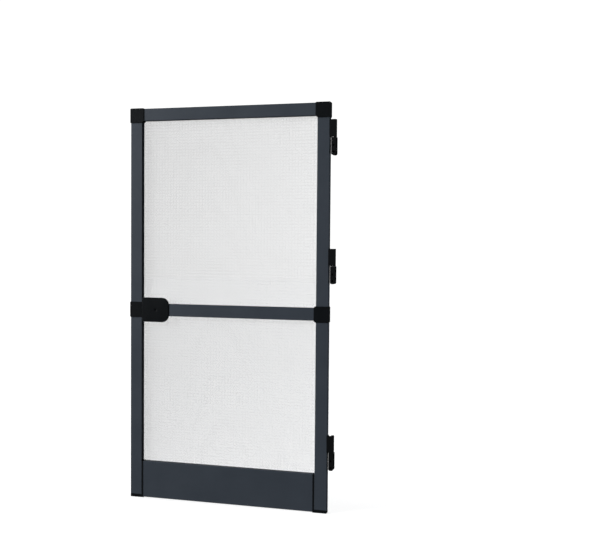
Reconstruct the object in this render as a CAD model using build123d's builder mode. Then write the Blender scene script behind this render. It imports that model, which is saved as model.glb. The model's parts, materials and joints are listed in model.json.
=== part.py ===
from build123d import *
import os

# A hinged insect-screen door: an aluminium frame with two mesh fields and a kick plate, black moulded
# connectors and grip, and three spring hinges on the right.
# X runs across the door towards the hinges, Y from the viewer's side towards the wall, and Z up.
# The origin is under the middle of the whole object. Sizes are in millimetres.

os.makedirs("parts", exist_ok=True)

# Leaf
leaf_width = 1100.0
leaf_height = 2100.0
profile_depth = 30.0
stile_face = 65.0
rail_face = 65.0
profile_wall = 1.4
profile_round = 1.5
middle_rail_centre = 1024.0
kick_top = 200.0
kick_bottom = 4.0
kick_ribs = 2

# Mesh, held by a rubber spline in a groove in the profiles' back
groove_width = 4.4
groove_depth = 6.0
lip_width = 5.5
lip_step = 1.2
mesh_thickness = 0.4
mesh_to_connector = 0.3
spline_radius = 1.9

# Moulded connectors
sleeve_wall = 3.0
corner_overlap = 10.0
corner_round = 16.0
tee_overlap = 9.0
tee_collar = 11.0
tee_round = 11.0
inner_wall = 3.0
tongue_length = 44.0
tongue_wall = 3.0
tongue_gap = 0.2
foot_height = 17.0
foot_plug = 50.0
foot_round = 2.0
kick_bracket_width = 10.0
kick_tongue_length = 40.0

# Grip on the middle rail
grip_length = 156.0
grip_height = 131.0
grip_round = 40.0
grip_small_round = 5.0
grip_front = 4.0
grip_rim = 4.0
grip_skin = 3.0
grip_edge_round = 2.0
grip_screw_from_stile = 82.0
pull_length = 96.0
pull_height = 36.0
pull_base = 4.0
pull_finger_depth = 20.0
pull_bar = 7.0
pull_slope = 9.0
pull_round = 6.0

# Spring hinges, measured from the hinge's own bottom
hinge_centres = {"bottom": 314.0, "middle": 1270.0, "top": leaf_height - 176.0}
hinge_height = 180.0
hinge_split = 91.0
hinge_reach = 34.0
hinge_proud = 2.0
hinge_lap = 2.0
hinge_plate = 4.0
hinge_back_inset = 2.0
hinge_side_inset = 1.0
hinge_round = 2.0
barrel_radius = 8.0
bracket_gap = 8.0
bracket_round = 9.0
bracket_hole_radius = 2.5
bracket_head_radius = 5.0
bracket_head_depth = 22.0
bracket_lower_hole = 16.0
bracket_hole_spacing = 34.0
bracket_pocket_wall = 3.0
bracket_barrel_height = 35.0
pin_radius = 3.0
pin_gap = 0.05
pin_in_bracket = 33.0
bearing_height = 12.0
washer_thickness = 1.0
washer_gap = 0.05
cap_plug = 5.0
cap_hole_depth = 3.0
spring_wire_radius = 0.8
spring_radius = 4.6
spring_pitch = 2.4
spring_gap = 0.8
hinge_screw_inset = 28.0

# Magnetic catches in the latch stile and their keepers on the wall
wall_gap = 4.0
catch_from_rail = 130.0
catch_from_edge = 20.0
catch_length = 60.0
catch_width = 16.0
catch_proud = 2.0
catch_body_depth = 8.0
catch_flange = 2.0
magnet_length = 40.0
magnet_width = 8.0
magnet_depth = 4.0
keeper_thickness = 1.5
keeper_hole_radius = 2.0
keeper_hole_spacing = 44.0

# Screws
screw_radius = 1.6
screw_hole_gap = 0.05
screw_head_radius = 3.4
screw_head_height = 2.0
screw_length = 14.0
side_screw_radius = 2.0
side_screw_head_radius = 4.0
side_screw_length = 22.0
side_screw_recess = 4.0
grip_screw_radius = 2.5
grip_screw_head_radius = 4.5
grip_screw_head_height = 2.5
grip_nut_radius = 4.5
grip_nut_height = 4.0
socket_depth = 1.2

# Places
pull_proud = pull_base + pull_finger_depth + pull_bar
left = -(sleeve_wall + leaf_width + hinge_reach) / 2 + sleeve_wall
right = left + leaf_width
centre = (left + right) / 2
front = -(grip_front + profile_depth + pull_proud) / 2 + grip_front
back = front + profile_depth
middle = (front + back) / 2
wall_plane = back + wall_gap
stile_in = left + stile_face
stile_top = leaf_height - rail_face
middle_low = middle_rail_centre - rail_face / 2
middle_high = middle_rail_centre + rail_face / 2
mesh_front = back - lip_step
seat = mesh_front - mesh_to_connector
groove_in = lip_width + groove_width / 2
mesh_free = lip_width + groove_width + profile_wall
screw_hole = screw_radius + screw_hole_gap
side_hole = side_screw_radius + screw_hole_gap
mirror_plane = Plane.YZ.offset(centre)
front_plane = Plane.XZ.offset(-front)
tongue_low = profile_wall + tongue_gap
tongue_high = profile_depth - groove_depth - profile_wall - tongue_gap
tongue_middle = front + (tongue_low + tongue_high) / 2
tongue_thick = tongue_high - tongue_low


def hollow_section(plane, face, grooves, ribs=0):
    """A chamber, with x across the face and y from front to back. A groove is (place, way to its lip)."""
    with BuildSketch(plane) as section:
        with Locations((face / 2, profile_depth / 2)):
            RectangleRounded(face, profile_depth, profile_round)
            Rectangle(face - 2 * profile_wall, profile_depth - 2 * profile_wall, mode=Mode.SUBTRACT)
        for rib in range(ribs):
            with Locations((face * (rib + 1) / (ribs + 1), profile_depth / 2)):
                Rectangle(profile_wall, profile_depth - profile_wall)
        for place, way in grooves:
            lip_middle = place + way * (groove_width + lip_width) / 2
            boss_depth = groove_depth + profile_wall
            with Locations((place, profile_depth - boss_depth / 2)):
                Rectangle(groove_width + 2 * profile_wall, boss_depth)
            with Locations((lip_middle, profile_depth - lip_step - profile_wall / 2)):
                Rectangle(lip_width, profile_wall)
            with Locations((lip_middle, profile_depth - lip_step / 2)):
                Rectangle(lip_width, lip_step, mode=Mode.SUBTRACT)
            round_centre = profile_depth - groove_depth + groove_width / 2
            with Locations((place, round_centre)):
                Circle(groove_width / 2, mode=Mode.SUBTRACT)
                Rectangle(
                    groove_width,
                    profile_depth - round_centre,
                    align=(Align.CENTER, Align.MIN),
                    mode=Mode.SUBTRACT,
                )
    return section.sketch


def block(x, y, z):
    """A box given by its lowest and highest x, y and z, for use in a builder."""
    return Box(x[1] - x[0], y[1] - y[0], z[1] - z[0], align=Align.MIN, mode=Mode.PRIVATE).moved(
        Location((x[0], y[0], z[0]))
    )


def hollow_tongue(x, z, open_x, open_z):
    """A tube in a chamber: the box x by z, and its hollow, which is longer where the tube is open."""
    depth = (tongue_middle - tongue_thick / 2, tongue_middle + tongue_thick / 2)
    inner_depth = (depth[0] + tongue_wall, depth[1] - tongue_wall)
    return block(x, depth, z), block(open_x, inner_depth, open_z)


def screw(origin, direction, radius, head_radius, head_height, length):
    """A pan-head screw with a round driver socket. Its head's underside is at the origin."""
    with BuildPart(Plane(origin=origin, z_dir=direction)) as one:
        Cylinder(head_radius, head_height, align=(Align.CENTER, Align.CENTER, Align.MIN))
        fillet(one.faces().sort_by(Axis(origin, direction))[-1].edges(), head_height * 0.4)
        Cylinder(radius, length, align=(Align.CENTER, Align.CENTER, Align.MAX))
        with Locations((0, 0, head_height)):
            Cylinder(
                radius, socket_depth, align=(Align.CENTER, Align.CENTER, Align.MAX), mode=Mode.SUBTRACT
            )
    return one.part


# Screws' places, before the pieces that they pass through
corner_stile_screw = (left + stile_face / 2, stile_top - tongue_length / 2)
corner_rail_screw = (stile_in + corner_overlap + tongue_length / 3, leaf_height - rail_face / 2)
tee_rail_screw = (stile_in + tee_collar + tongue_length / 3, middle_rail_centre)
foot_screw = (left + stile_face / 2, foot_height + foot_plug / 2)
back_screws = [corner_stile_screw, corner_rail_screw, tee_rail_screw, foot_screw]
grip_screw_x = stile_in + grip_screw_from_stile
kick_pitch = (kick_top - kick_bottom) / (kick_ribs + 1)
kick_chambers = [kick_bottom + kick_pitch * (chamber + 0.5) for chamber in range(kick_ribs + 1)]
kick_screw_z = [(kick_chambers[0] + kick_chambers[1]) / 2, (kick_chambers[1] + kick_chambers[2]) / 2]
hinge_bottoms = {name: level - hinge_height / 2 for name, level in hinge_centres.items()}
hinge_screw_z = [
    bottom + place
    for bottom in hinge_bottoms.values()
    for place in (hinge_split + hinge_screw_inset, hinge_height - hinge_screw_inset)
]
catch_x = left + catch_from_edge
catch_z = [middle_rail_centre - catch_from_rail, middle_rail_centre + catch_from_rail]

# ---- Stiles ----
stile_plane = Plane(origin=(left, front, foot_height), x_dir=(1, 0, 0), z_dir=(0, 0, 1))
stile_profile = hollow_section(stile_plane, stile_face, [(stile_face - groove_in, 1)])
stile_length = stile_top - foot_height

with BuildPart() as stile_latch:
    extrude(stile_profile, amount=stile_length)
    for x, z in (corner_stile_screw, foot_screw):
        with Locations(Plane(origin=(x, back, z), z_dir=(0, 1, 0))):
            Hole(screw_hole, depth=profile_wall + groove_depth)
    for z in kick_screw_z:
        with Locations(Plane(origin=(stile_in, middle, z), z_dir=(1, 0, 0))):
            Hole(side_hole, depth=3 * profile_wall)
    for z in catch_z:
        with BuildSketch(Plane.XZ.offset(-back)):
            with Locations((catch_x, z)):
                Rectangle(catch_width - 2 * catch_flange, catch_length - 2 * catch_flange)
        extrude(amount=3 * profile_wall, both=True, mode=Mode.SUBTRACT)
stile_latch.part.label = "stile_latch"
export_step(stile_latch.part, "parts/stile_latch.step")

with BuildPart() as stile_hinge:
    mirror(extrude(stile_profile, amount=stile_length, mode=Mode.PRIVATE), about=mirror_plane)
    for x, z in (corner_stile_screw, foot_screw):
        with Locations(Plane(origin=(2 * centre - x, back, z), z_dir=(0, 1, 0))):
            Hole(screw_hole, depth=profile_wall + groove_depth)
    for z in kick_screw_z:
        with Locations(Plane(origin=(2 * centre - stile_in, middle, z), z_dir=(-1, 0, 0))):
            Hole(side_hole, depth=3 * profile_wall)
    for z in hinge_screw_z:
        with Locations(Plane(origin=(right, middle, z), z_dir=(1, 0, 0))):
            Hole(side_hole, depth=3 * profile_wall)
stile_hinge.part.label = "stile_hinge"
export_step(stile_hinge.part, "parts/stile_hinge.step")

# ---- Rails and kick plate ----
rail_start = stile_in + inner_wall
rail_length = leaf_width - 2 * (stile_face + inner_wall)
top_plane = Plane(origin=(rail_start, front, leaf_height), x_dir=(0, 0, -1), z_dir=(1, 0, 0))
with BuildPart() as rail_top:
    extrude(hollow_section(top_plane, rail_face, [(rail_face - groove_in, 1)]), amount=rail_length)
    for x in (corner_rail_screw[0], 2 * centre - corner_rail_screw[0]):
        with Locations(Plane(origin=(x, back, corner_rail_screw[1]), z_dir=(0, 1, 0))):
            Hole(screw_hole, depth=3 * profile_wall)
rail_top.part.label = "rail_top"
export_step(rail_top.part, "parts/rail_top.step")

middle_plane = Plane(origin=(rail_start, front, middle_high), x_dir=(0, 0, -1), z_dir=(1, 0, 0))
middle_grooves = [(groove_in, -1), (rail_face - groove_in, 1)]
with BuildPart() as rail_middle:
    extrude(hollow_section(middle_plane, rail_face, middle_grooves), amount=rail_length)
    for x in (tee_rail_screw[0], 2 * centre - tee_rail_screw[0]):
        with Locations(Plane(origin=(x, back, tee_rail_screw[1]), z_dir=(0, 1, 0))):
            Hole(screw_hole, depth=3 * profile_wall)
    with Locations(Plane(origin=(grip_screw_x, back, middle_rail_centre), z_dir=(0, 1, 0))):
        Hole(grip_screw_radius + screw_hole_gap)
rail_middle.part.label = "rail_middle"
export_step(rail_middle.part, "parts/rail_middle.step")

kick_start = stile_in + kick_bracket_width
kick_length = leaf_width - 2 * (stile_face + kick_bracket_width)
kick_face = kick_top - kick_bottom
kick_plane = Plane(origin=(kick_start + kick_length, front, kick_bottom), x_dir=(0, 0, 1), z_dir=(-1, 0, 0))
with BuildPart() as kick_plate:
    extrude(
        hollow_section(kick_plane, kick_face, [(kick_face - groove_in, 1)], kick_ribs), amount=kick_length
    )
kick_plate.part.label = "kick_plate"
export_step(kick_plate.part, "parts/kick_plate.step")

# ---- Top corner connectors ----
# Layers from front to back share one outline. Behind the front plate it leaves out the two profiles,
# and near the back it also leaves out the strip that the mesh and its groove take.
corner_x = (left - sleeve_wall, stile_in + corner_overlap)
corner_z = (stile_top - corner_overlap, leaf_height + sleeve_wall)
corner_width = corner_x[1] - corner_x[0]
corner_height = corner_z[1] - corner_z[0]


def corner_outline(leave_profiles, leave_mesh):
    """The corner's outline, with its inner lower corner rounded."""
    with BuildSketch(front_plane) as outline:
        with Locations((corner_x[0], corner_z[0])):
            Rectangle(corner_width, corner_height, align=Align.MIN)
        fillet(outline.vertices().group_by(Axis.X)[-1].sort_by(Axis.Y)[0], corner_round)
        if leave_profiles:
            with Locations((left, stile_top)):
                Rectangle(stile_face, corner_height, align=(Align.MIN, Align.MAX), mode=Mode.SUBTRACT)
            with Locations((rail_start, stile_top)):
                Rectangle(corner_width, rail_face, align=Align.MIN, mode=Mode.SUBTRACT)
        if leave_mesh:
            with Locations((stile_in - mesh_free, stile_top + mesh_free)):
                Rectangle(corner_width, corner_height, align=(Align.MIN, Align.MAX), mode=Mode.SUBTRACT)
    return outline.sketch


with BuildPart() as corner_connector_latch:
    extrude(corner_outline(False, False), amount=sleeve_wall)
    extrude(corner_outline(True, False), amount=-(seat - front))
    extrude(corner_outline(True, True), amount=-(back - front))
    extrude(corner_outline(False, True).moved(Location((0, back - front, 0))), amount=-sleeve_wall)
    side = (left + tongue_low, stile_in - tongue_low)
    side_hollow = (side[0] + tongue_wall, side[1] - tongue_wall)
    rise = (stile_top + tongue_low, leaf_height - tongue_low)
    rise_hollow = (rise[0] + tongue_wall, rise[1] - tongue_wall)
    down, down_hollow = hollow_tongue(
        side, (stile_top - tongue_length, stile_top), side_hollow, (stile_top - tongue_length, rise_hollow[1])
    )
    across, across_hollow = hollow_tongue(
        (stile_in, stile_in + tongue_length), rise, (side_hollow[0], stile_in + tongue_length), rise_hollow
    )
    add(down)
    add(across)
    add(down_hollow, mode=Mode.SUBTRACT)
    add(across_hollow, mode=Mode.SUBTRACT)
    for x, z in (corner_stile_screw, corner_rail_screw):
        with Locations(Plane(origin=(x, front + tongue_high, z), z_dir=(0, 1, 0))):
            Hole(screw_hole, depth=2 * tongue_wall)
corner_connector_latch.part.label = "corner_connector_latch"
export_step(corner_connector_latch.part, "parts/corner_connector_latch.step")

with BuildPart() as corner_connector_hinge:
    mirror(corner_connector_latch.part, about=mirror_plane)
corner_connector_hinge.part.label = "corner_connector_hinge"
export_step(corner_connector_hinge.part, "parts/corner_connector_hinge.step")

# ---- Tee connectors: a sleeve round the stile, a collar round the rail and a tongue in it ----
tee_z = (middle_low - tee_overlap, middle_high + tee_overlap)
tee_height = tee_z[1] - tee_z[0]


def tee_outline(x, leave_profiles, rounding):
    """The tee's outline from the stile's outer edge to x, with its inner corners rounded."""
    with BuildSketch(front_plane) as outline:
        with Locations((left - sleeve_wall, tee_z[0])):
            Rectangle(x - left + sleeve_wall, tee_height, align=Align.MIN)
        if rounding:
            fillet(outline.vertices().group_by(Axis.X)[-1], rounding)
        if leave_profiles:
            with Locations((left, tee_z[0])):
                Rectangle(stile_face, tee_height, align=Align.MIN, mode=Mode.SUBTRACT)
            with Locations((rail_start, middle_low)):
                Rectangle(tee_collar, rail_face, align=Align.MIN, mode=Mode.SUBTRACT)
    return outline.sketch


def tee_connector(plate_edge, plate_round):
    """A tee for the latch side. Its front plate ends at plate_edge."""
    with BuildPart() as tee:
        extrude(tee_outline(plate_edge, False, plate_round), amount=sleeve_wall)
        extrude(tee_outline(stile_in + tee_collar, True, tee_round), amount=-(seat - front))
        sleeve_back = (left - sleeve_wall, stile_in - mesh_free)
        add(block((left - sleeve_wall, left), (front, back + sleeve_wall), tee_z))
        add(block(sleeve_back, (back, back + sleeve_wall), tee_z))
        rise = (middle_low + mesh_free, middle_high - mesh_free)
        tongue, hollow = hollow_tongue(
            (stile_in, stile_in + tongue_length),
            rise,
            (rail_start, stile_in + tongue_length),
            (rise[0] + tongue_wall, rise[1] - tongue_wall),
        )
        add(tongue)
        add(hollow, mode=Mode.SUBTRACT)
        x, z = tee_rail_screw
        with Locations(Plane(origin=(x, front + tongue_high, z), z_dir=(0, 1, 0))):
            Hole(screw_hole, depth=2 * tongue_wall)
    return tee.part


grip_start = stile_in + sleeve_wall / 2
with BuildPart() as tee_connector_latch:
    add(tee_connector(grip_start, 0))
tee_connector_latch.part.label = "tee_connector_latch"
export_step(tee_connector_latch.part, "parts/tee_connector_latch.step")

with BuildPart() as tee_connector_hinge:
    mirror(tee_connector(stile_in + tee_collar, tee_round), about=mirror_plane)
tee_connector_hinge.part.label = "tee_connector_hinge"
export_step(tee_connector_hinge.part, "parts/tee_connector_hinge.step")

# ---- Feet and kick plate brackets ----
with BuildPart() as foot_latch:
    add(block((left, kick_start), (front, back), (0, foot_height)))
    fillet(foot_latch.edges().group_by(Axis.Z)[0], foot_round)
    plug_z = (foot_height, foot_height + foot_plug)
    plug, plug_hollow = hollow_tongue(
        (left + tongue_low, stile_in - tongue_low),
        plug_z,
        (left + tongue_low + tongue_wall, stile_in - tongue_low - tongue_wall),
        (foot_round + tongue_wall, plug_z[1]),
    )
    add(plug)
    add(plug_hollow, mode=Mode.SUBTRACT)
    with Locations(Plane(origin=(foot_screw[0], front + tongue_high, foot_screw[1]), z_dir=(0, 1, 0))):
        Hole(screw_hole, depth=2 * tongue_wall)
foot_latch.part.label = "foot_latch"
export_step(foot_latch.part, "parts/foot_latch.step")

with BuildPart() as foot_hinge:
    mirror(foot_latch.part, about=mirror_plane)
foot_hinge.part.label = "foot_hinge"
export_step(foot_hinge.part, "parts/foot_hinge.step")

with BuildPart() as kick_bracket_latch:
    add(block((stile_in, kick_start), (front, seat), (foot_height, kick_top)))
    for level in (kick_chambers[0], kick_chambers[-1]):
        half = (kick_pitch - profile_wall) / 2 - mesh_free
        tongue, hollow = hollow_tongue(
            (kick_start, kick_start + kick_tongue_length),
            (level - half, level + half),
            (kick_start, kick_start + kick_tongue_length),
            (level - half + tongue_wall, level + half - tongue_wall),
        )
        add(tongue)
        add(hollow, mode=Mode.SUBTRACT)
    for z in kick_screw_z:
        with Locations(Plane(origin=(kick_start, middle, z), z_dir=(1, 0, 0))):
            CounterBoreHole(side_hole, side_screw_head_radius + screw_hole_gap, side_screw_recess)
kick_bracket_latch.part.label = "kick_bracket_latch"
export_step(kick_bracket_latch.part, "parts/kick_bracket_latch.step")

with BuildPart() as kick_bracket_hinge:
    mirror(kick_bracket_latch.part, about=mirror_plane)
kick_bracket_hinge.part.label = "kick_bracket_hinge"
export_step(kick_bracket_hinge.part, "parts/kick_bracket_hinge.step")

# ---- Mesh fields and their splines ----
field_x = (stile_in - groove_in, 2 * centre - stile_in + groove_in)
fields = {
    "upper": (middle_high - groove_in, stile_top + groove_in),
    "lower": (kick_top - groove_in, middle_low + groove_in),
}
spline_y = back - groove_depth + groove_width / 2
for field, field_z in fields.items():
    with BuildPart() as mesh:
        add(block(field_x, (mesh_front, mesh_front + mesh_thickness), field_z))
    mesh.part.label = f"mesh_{field}"
    export_step(mesh.part, f"parts/mesh_{field}.step")

    # Upright lengths lie in the stiles' grooves, level ones in the rails' or the kick plate's
    level_start = rail_start if field == "upper" else kick_start
    with BuildPart() as spline:
        for x in field_x:
            with BuildSketch(Plane.XY.offset(field_z[0] + groove_in)):
                with Locations((x, spline_y)):
                    Circle(spline_radius)
            extrude(amount=field_z[1] - field_z[0] - 2 * groove_in)
        for z in field_z:
            with BuildSketch(Plane.YZ.offset(level_start)):
                with Locations((spline_y, z)):
                    Circle(spline_radius)
            extrude(amount=2 * (centre - level_start))
    spline.part.label = f"spline_{field}"
    export_step(spline.part, f"parts/spline_{field}.step")

# ---- Grip: a shell on the front of the middle rail, and a pull bar on its back ----


def grip_outline(plane, inset):
    """The grip's outline, large rounds at its free end, drawn in by inset all round."""
    with BuildSketch(plane) as outline:
        with Locations((grip_start + grip_length / 2, middle_rail_centre)):
            Rectangle(grip_length - 2 * inset, grip_height - 2 * inset)
        fillet(outline.vertices().group_by(Axis.X)[-1], grip_round - inset)
        fillet(outline.vertices().group_by(Axis.X)[0], grip_small_round - inset)
    return outline.sketch


with BuildPart() as grip_plate:
    rim_plane = Plane.XZ.offset(-(front + grip_rim))
    extrude(grip_outline(rim_plane, 0), amount=grip_front + grip_rim)
    fillet(grip_plate.faces().sort_by(Axis.Y)[0].edges(), grip_edge_round)
    extrude(grip_outline(rim_plane, grip_skin), amount=grip_front + grip_rim - grip_skin, mode=Mode.SUBTRACT)
    add(
        block(
            (grip_start + grip_skin, grip_start + grip_length - grip_skin),
            (front - grip_front + grip_skin, front),
            (middle_low, middle_high),
        )
    )
    add(block((grip_start, right), (front, back), (middle_low, middle_high)), mode=Mode.SUBTRACT)
    add(block((grip_start, stile_in + tee_collar), (front, back), tee_z), mode=Mode.SUBTRACT)
    with Locations(Plane(origin=(grip_screw_x, front - grip_front, middle_rail_centre), z_dir=(0, -1, 0))):
        CounterBoreHole(
            grip_screw_radius + screw_hole_gap,
            grip_screw_head_radius + screw_hole_gap,
            grip_screw_head_height,
        )
grip_plate.part.label = "grip_plate"
export_step(grip_plate.part, "parts/grip_plate.step")

pull_x = (grip_screw_x - pull_length / 2, grip_screw_x + pull_length / 2)


def pull_outline(inset, low, high):
    """The pull's section between two depths behind the leaf, drawn in by inset at its sloping ends."""
    with BuildSketch(Plane.XY.offset(middle_rail_centre - pull_height / 2)) as outline:
        with BuildLine():
            Polyline(
                (pull_x[0] + inset, back + low),
                (pull_x[0] + inset + pull_slope, back + high),
                (pull_x[1] - inset - pull_slope, back + high),
                (pull_x[1] - inset, back + low),
                close=True,
            )
        make_face()
        fillet(outline.vertices().group_by(Axis.Y)[-1], pull_round)
    return outline.sketch


with BuildPart() as grip_pull:
    extrude(pull_outline(0, 0, pull_proud), amount=pull_height)
    extrude(
        pull_outline(pull_bar, pull_base, pull_base + pull_finger_depth),
        amount=pull_height,
        mode=Mode.SUBTRACT,
    )
    with Locations(Plane(origin=(grip_screw_x, back + pull_base, middle_rail_centre), z_dir=(0, 1, 0))):
        Hole(grip_screw_radius + screw_hole_gap, depth=pull_base)
grip_pull.part.label = "grip_pull"
export_step(grip_pull.part, "parts/grip_pull.step")

grip_screw_reach = grip_front + profile_depth + pull_base - grip_screw_head_height
with BuildPart() as grip_screw:
    add(
        screw(
            (grip_screw_x, front - grip_front + grip_screw_head_height, middle_rail_centre),
            (0, -1, 0),
            grip_screw_radius,
            grip_screw_head_radius,
            grip_screw_head_height,
            grip_screw_reach + grip_nut_height,
        )
    )
grip_screw.part.label = "grip_screw"
export_step(grip_screw.part, "parts/grip_screw.step")

with BuildPart() as grip_nut:
    with BuildSketch(Plane.XZ.offset(-(back + pull_base))):
        with Locations((grip_screw_x, middle_rail_centre)):
            RegularPolygon(grip_nut_radius, 6)
            Circle(grip_screw_radius, mode=Mode.SUBTRACT)
    extrude(amount=-grip_nut_height)
grip_nut.part.label = "grip_nut"
export_step(grip_nut.part, "parts/grip_nut.step")

# ---- Screws in the frame ----
with BuildPart() as frame_screws:
    for x, z in back_screws:
        for place in (x, 2 * centre - x):
            origin = (place, back, z)
            add(screw(origin, (0, 1, 0), screw_radius, screw_head_radius, screw_head_height, screw_length))
frame_screws.part.label = "frame_screws"
export_step(frame_screws.part, "parts/frame_screws.step")

kick_screw_seat = kick_start - side_screw_recess
with BuildPart() as kick_bracket_screws:
    for z in kick_screw_z:
        for x, way in ((kick_screw_seat, 1), (2 * centre - kick_screw_seat, -1)):
            add(
                screw(
                    (x, middle, z),
                    (way, 0, 0),
                    side_screw_radius,
                    side_screw_head_radius,
                    screw_head_height,
                    side_screw_length,
                )
            )
kick_bracket_screws.part.label = "kick_bracket_screws"
export_step(kick_bracket_screws.part, "parts/kick_bracket_screws.step")

with BuildPart() as hinge_leaf_screws:
    for z in hinge_screw_z:
        add(
            screw(
                (right + hinge_plate, middle, z),
                (1, 0, 0),
                side_screw_radius,
                side_screw_head_radius,
                screw_head_height,
                side_screw_length,
            )
        )
hinge_leaf_screws.part.label = "hinge_leaf_screws"
export_step(hinge_leaf_screws.part, "parts/hinge_leaf_screws.step")

# ---- Hinges ----
# The upper half is screwed to the stile's edge and turns with the leaf. The lower half stands clear of
# the stile and is screwed to the wall. A pin pressed into the lower half runs in the upper one, inside
# a torsion spring.
hinge_front = front - hinge_proud
axis_x = right + hinge_reach - barrel_radius
axis_y = middle
body_edge = axis_x + barrel_radius - hinge_side_inset
cavity_radius = spring_radius + spring_wire_radius + spring_gap
upper_height = hinge_height - hinge_split - washer_thickness / 2

for name, hinge_bottom in hinge_bottoms.items():
    split = hinge_bottom + hinge_split
    hinge_top = hinge_bottom + hinge_height
    upper_bottom = split + washer_thickness / 2
    spring_bottom = upper_bottom + bearing_height
    cap_bottom = hinge_top - cap_plug

    with BuildPart() as hinge_leaf:
        with BuildSketch(Plane.XY.offset(upper_bottom)):
            with Locations((right - hinge_lap, hinge_front)):
                Rectangle(body_edge - right + hinge_lap, hinge_proud, align=Align.MIN)
            with Locations((right, hinge_front)):
                Rectangle(body_edge - right, hinge_plate, align=Align.MIN)
                Rectangle(hinge_plate, back - hinge_back_inset - hinge_front, align=Align.MIN)
            with Locations((axis_x, hinge_front)):
                Rectangle(2 * (body_edge - axis_x), axis_y - hinge_front, align=(Align.CENTER, Align.MIN))
            with Locations((axis_x, axis_y)):
                Circle(barrel_radius)
        extrude(amount=upper_height)
        fillet(hinge_leaf.edges().filter_by(Axis.Y).group_by(Axis.X)[-1].group_by(Axis.Z)[-1], hinge_round)
        with Locations((axis_x, axis_y, hinge_top)):
            Hole(cavity_radius, depth=hinge_top - spring_bottom)
            Hole(pin_radius + pin_gap)
        for place in (hinge_split + hinge_screw_inset, hinge_height - hinge_screw_inset):
            hole_origin = (right + hinge_plate, middle, hinge_bottom + place)
            with Locations(Plane(origin=hole_origin, z_dir=(1, 0, 0))):
                Hole(side_hole, depth=2 * hinge_plate)
    hinge_leaf.part.label = f"hinge_leaf_{name}"
    export_step(hinge_leaf.part, f"parts/hinge_leaf_{name}.step")

    with BuildPart() as hinge_bracket:
        bracket_x = (right + bracket_gap, body_edge)
        bracket_top = split - washer_thickness / 2
        add(block(bracket_x, (hinge_front, wall_plane), (hinge_bottom, bracket_top)))
        fillet(hinge_bracket.edges().filter_by(Axis.Y).group_by(Axis.Z)[0], bracket_round)
        with BuildSketch(Plane.XY.offset(bracket_top)):
            with Locations((axis_x, axis_y)):
                Circle(barrel_radius)
        extrude(amount=-bracket_barrel_height)
        with Locations((axis_x, axis_y, bracket_top)):
            Hole(pin_radius, depth=pin_in_bracket)
        hole_x = (bracket_x[0] + bracket_x[1]) / 2
        lower_hole = hinge_bottom + bracket_lower_hole
        upper_hole = lower_hole + bracket_hole_spacing
        for z in (lower_hole, upper_hole):
            with Locations(Plane(origin=(hole_x, hinge_front, z), z_dir=(0, -1, 0))):
                CounterBoreHole(bracket_hole_radius, bracket_head_radius, bracket_head_depth)
        pocket_x = (bracket_x[0] + bracket_pocket_wall, bracket_x[1] - bracket_pocket_wall)
        pocket_reach = bracket_head_radius + bracket_pocket_wall
        pocket_z = (lower_hole + pocket_reach, upper_hole - pocket_reach)
        add(
            block(pocket_x, (hinge_front + bracket_pocket_wall, wall_plane), pocket_z), mode=Mode.SUBTRACT
        )
    hinge_bracket.part.label = f"hinge_bracket_{name}"
    export_step(hinge_bracket.part, f"parts/hinge_bracket_{name}.step")

    with BuildPart() as hinge_pin:
        with BuildSketch(Plane.XY.offset(bracket_top - pin_in_bracket)):
            with Locations((axis_x, axis_y)):
                Circle(pin_radius)
        extrude(amount=cap_bottom + cap_hole_depth - washer_gap - bracket_top + pin_in_bracket)
        chamfer(hinge_pin.faces().sort_by(Axis.Z)[-1].edges(), pin_radius * 0.2)
    hinge_pin.part.label = f"hinge_pin_{name}"
    export_step(hinge_pin.part, f"parts/hinge_pin_{name}.step")

    spring_start = spring_bottom + spring_wire_radius + washer_gap
    with BuildPart() as hinge_spring:
        with BuildLine() as coil:
            Helix(
                spring_pitch,
                cap_bottom - spring_start - spring_wire_radius - spring_gap,
                spring_radius,
                center=(axis_x, axis_y, spring_start),
            )
        with BuildSketch(Plane(origin=coil.line @ 0, z_dir=coil.line % 0)):
            Circle(spring_wire_radius)
        sweep(is_frenet=True)
    hinge_spring.part.label = f"hinge_spring_{name}"
    export_step(hinge_spring.part, f"parts/hinge_spring_{name}.step")

    with BuildPart() as hinge_washer:
        with BuildSketch(Plane.XY.offset(bracket_top)):
            with Locations((axis_x, axis_y)):
                Circle(barrel_radius - hinge_side_inset / 2)
                Circle(pin_radius, mode=Mode.SUBTRACT)
        extrude(amount=washer_thickness - washer_gap)
    hinge_washer.part.label = f"hinge_washer_{name}"
    export_step(hinge_washer.part, f"parts/hinge_washer_{name}.step")

    with BuildPart() as hinge_cap:
        with BuildSketch(Plane.XY.offset(cap_bottom)):
            with Locations((axis_x, axis_y)):
                Circle(cavity_radius)
        extrude(amount=cap_plug)
        with Locations((axis_x, axis_y, cap_bottom + cap_hole_depth)):
            Hole(pin_radius + pin_gap, depth=cap_hole_depth)
    hinge_cap.part.label = f"hinge_cap_{name}"
    export_step(hinge_cap.part, f"parts/hinge_cap_{name}.step")

# ---- Magnetic catches ----
with BuildPart() as catch_housings:
    for z in catch_z:
        with BuildSketch(Plane.XZ.offset(-(back + catch_proud))):
            with Locations((catch_x, z)):
                RectangleRounded(catch_width, catch_length, catch_flange)
        extrude(amount=catch_proud)
        with BuildSketch(Plane.XZ.offset(-back)):
            with Locations((catch_x, z)):
                Rectangle(catch_width - 2 * catch_flange, catch_length - 2 * catch_flange)
        extrude(amount=catch_body_depth)
        with BuildSketch(Plane.XZ.offset(-(back + catch_proud))):
            with Locations((catch_x, z)):
                Rectangle(magnet_width, magnet_length)
        extrude(amount=magnet_depth, mode=Mode.SUBTRACT)
catch_housings.part.label = "catch_housings"
export_step(catch_housings.part, "parts/catch_housings.step")

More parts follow.
